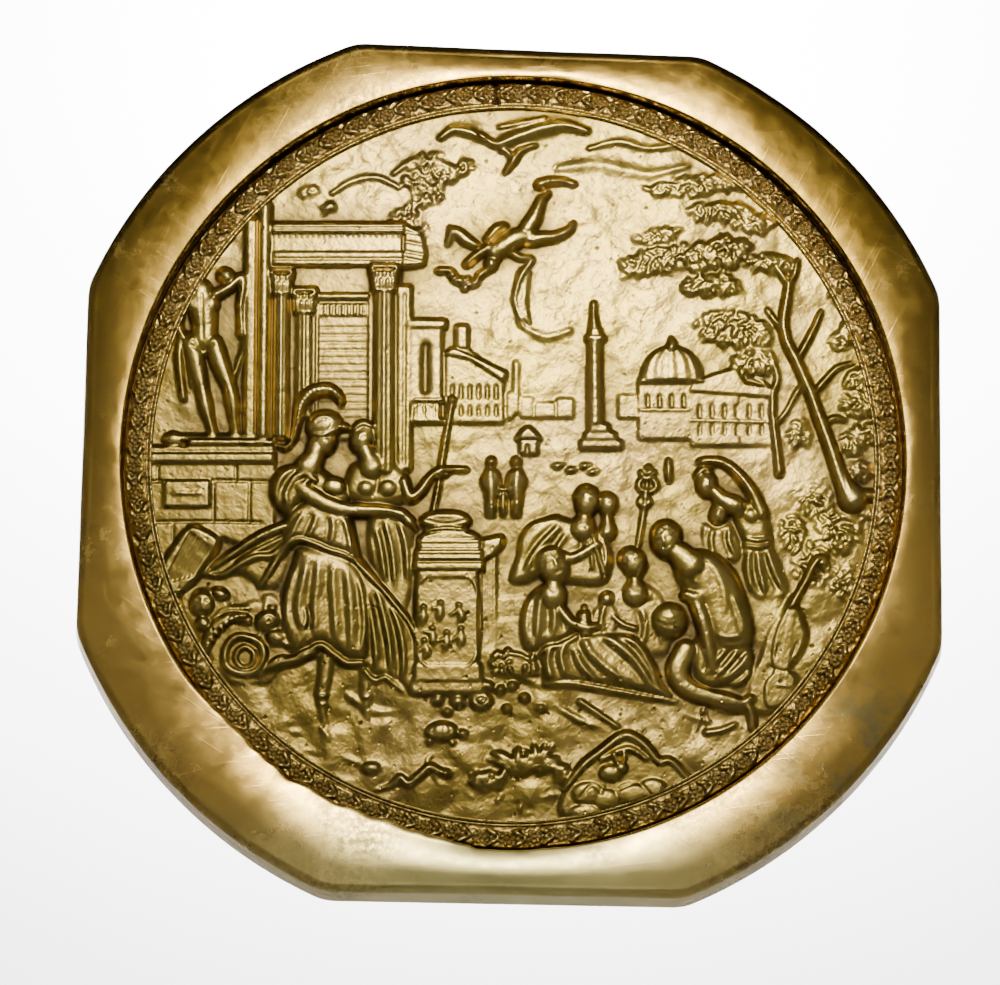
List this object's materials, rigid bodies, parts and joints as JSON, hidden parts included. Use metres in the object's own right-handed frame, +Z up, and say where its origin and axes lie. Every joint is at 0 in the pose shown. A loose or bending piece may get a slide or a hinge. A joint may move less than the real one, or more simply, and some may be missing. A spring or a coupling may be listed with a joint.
{
  "type": "relief plaque",
  "caption": "Round cast relief of a helmeted goddess, muses and ruins in a landscape, let into a heavy rounded frame that is a disc cut by flats, for hanging on a wall.",
  "frame": {"origin": "centre of the frame's flat back, where it lies against a wall", "axes": "+Z up as it hangs, -Y out of the wall towards the viewer, +X to the viewer's right"},
  "size_m": [0.1738, 0.012, 0.1743],
  "materials": {
    "frame_brass": "worn polish with fine scratches",
    "relief_bronze": "matte casting, dark in the recesses and rubbed bright on top"
  },
  "bodies": {
    "root": {"frame": "frame_brass", "relief_medallion": "relief_bronze"}
  },
  "joints": []
}
